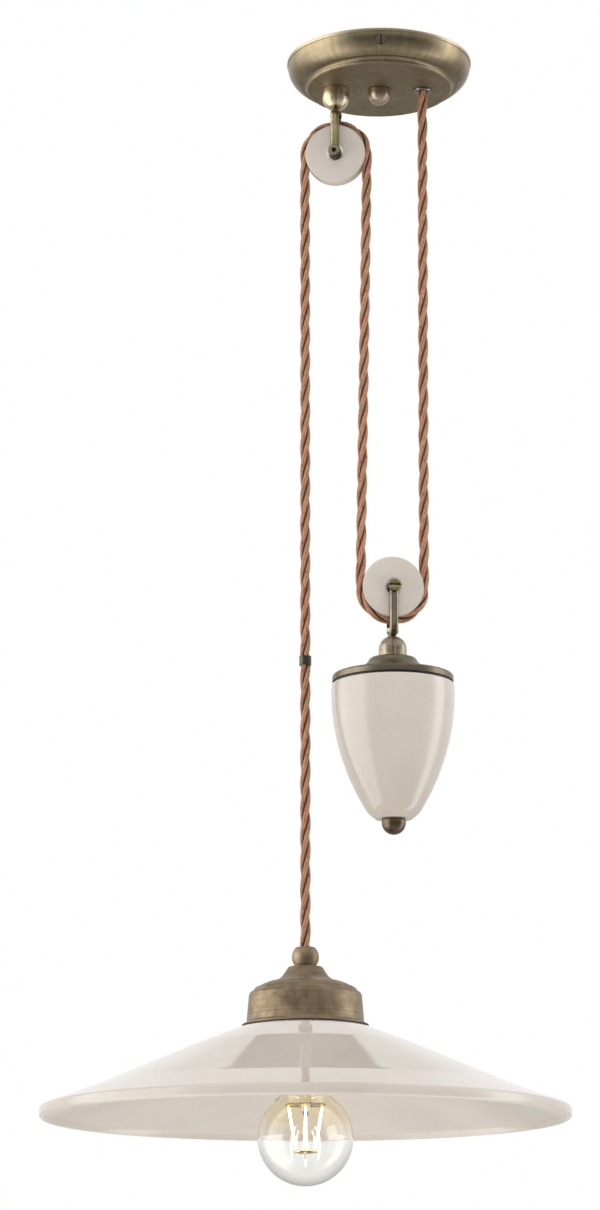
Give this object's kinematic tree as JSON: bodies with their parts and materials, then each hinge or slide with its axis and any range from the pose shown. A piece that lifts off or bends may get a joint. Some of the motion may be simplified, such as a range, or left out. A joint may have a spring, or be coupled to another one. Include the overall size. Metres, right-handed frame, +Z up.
{
  "type": "rise and fall pendant light",
  "caption": "Rise and fall pendant: brass ceiling canopy, cord over two ceramic pulleys, urn-shaped counterweight and a wide ceramic cone shade with a globe bulb.",
  "frame": {"origin": "centre of the ceiling bracket on the ceiling plane", "axes": "+Z up out of the ceiling, -Y towards the viewer, +X to the viewer's right"},
  "size_m": [0.4404, 0.4404, 0.9873],
  "materials": {
    "aged_brass": "antique brass, lacquered, satin",
    "polished_brass": "polished brass",
    "bare_brass": "turned brass",
    "steel": "plated steel",
    "chrome": "bright plated",
    "ivory_ceramic": "ivory glaze, gloss",
    "socket_ceramic": "unglazed porcelain",
    "iron_core": "plain cast slug",
    "black_seal": "matt rubber",
    "felt": "thin felt washer",
    "cord_fabric": "twisted rayon-covered flex",
    "holder_plastic": "moulded thermoset",
    "terminal_plastic": "moulded",
    "bulb_metal": "rolled cap",
    "clear_glass": "clear",
    "filament": "phosphor-coated rods",
    "filament_wire": "wire"
  },
  "bodies": {
    "root": {"canopy": "aged_brass", "canopy_side_screws": "aged_brass", "centre_knob": "aged_brass", "centre_knob_nut": "steel", "cord_eyelet": "chrome", "cord_run_fixed": "cord_fabric", "cord_run_middle": "cord_fabric", "cord_run_shade": "cord_fabric", "cord_tail": "cord_fabric", "cord_wrap_upper": "cord_fabric", "gland_nut": "steel", "gland_screw": "bare_brass", "mounting_bracket": "steel", "terminal_block": "terminal_plastic", "terminal_screws": "bare_brass", "upper_axle_nut": "steel", "upper_axle_screw": "steel", "upper_axle_washers": "steel", "upper_dome": "polished_brass", "upper_pivot_nut": "steel", "upper_pivot_screw": "steel", "upper_pivot_washer": "steel", "upper_stirrup": "aged_brass"},
    "upper_pulley": {"upper_pulley": "ivory_ceramic", "upper_pulley_bush": "bare_brass"},
    "counterweight": {"lower_stirrup": "aged_brass", "lower_axle_screw": "aged_brass", "lower_axle_nut": "steel", "lower_axle_washers": "steel", "cord_wrap_lower": "cord_fabric"},
    "lower_pulley": {"lower_pulley": "ivory_ceramic", "lower_pulley_bush": "bare_brass"},
    "weight": {"lower_dome": "polished_brass", "counterweight_cap": "aged_brass", "cap_seal": "black_seal", "counterweight_urn": "ivory_ceramic", "counterweight_core": "iron_core", "tie_rod": "steel", "finial": "aged_brass", "finial_felt": "felt"},
    "shade": {"cord_grip_ball": "aged_brass", "fitter_cap": "aged_brass", "shade_gasket": "black_seal", "shade": "ivory_ceramic", "nipple": "steel", "nipple_nut": "steel", "lampholder_cap": "holder_plastic", "lampholder_body": "holder_plastic", "lampholder_ring": "holder_plastic", "lampholder_core": "socket_ceramic", "contact_tongue": "bare_brass", "bulb_cap": "bulb_metal", "bulb_glass": "clear_glass", "bulb_stem": "clear_glass", "bulb_filaments": "filament", "filament_frame": "filament_wire", "cord_clip": "aged_brass"}
  },
  "joints": [
    {"name": "shade_travel", "type": "slide", "parent": "root", "child": "shade", "axis": [0, 0, 1], "range_m": [-0.44, 0.1], "deforming": ["cord_run_shade"]},
    {"name": "counterweight_travel", "type": "slide", "parent": "root", "child": "counterweight", "axis": [0, 0, 1], "range_m": [-0.05, 0.22], "deforming": ["cord_run_middle", "cord_run_fixed"]},
    {"name": "upper_pulley_spin", "type": "hinge", "parent": "root", "child": "upper_pulley", "pos_m": [-0.0384, 0, -0.0866], "axis": [0.1392, 0.9903, 0], "range_deg": [-914, 208]},
    {"name": "lower_pulley_spin", "type": "hinge", "parent": "counterweight", "child": "lower_pulley", "pos_m": [0.0089, 0, -0.4805], "axis": [-0.1392, 0.9903, 0], "range_deg": [-104, 457]},
    {"name": "counterweight_swivel", "type": "hinge", "parent": "counterweight", "child": "weight", "pos_m": [0.0089, 0, -0.5198], "axis": [0, 0, 1], "continuous": true}
  ],
  "couplings": [
    {"joint": "counterweight_travel", "follows": "shade_travel", "ratio": -0.5},
    {"joint": "upper_pulley_spin", "follows": "shade_travel", "rad_per_m": 36.232},
    {"joint": "lower_pulley_spin", "follows": "shade_travel", "rad_per_m": -18.116}
  ]
}
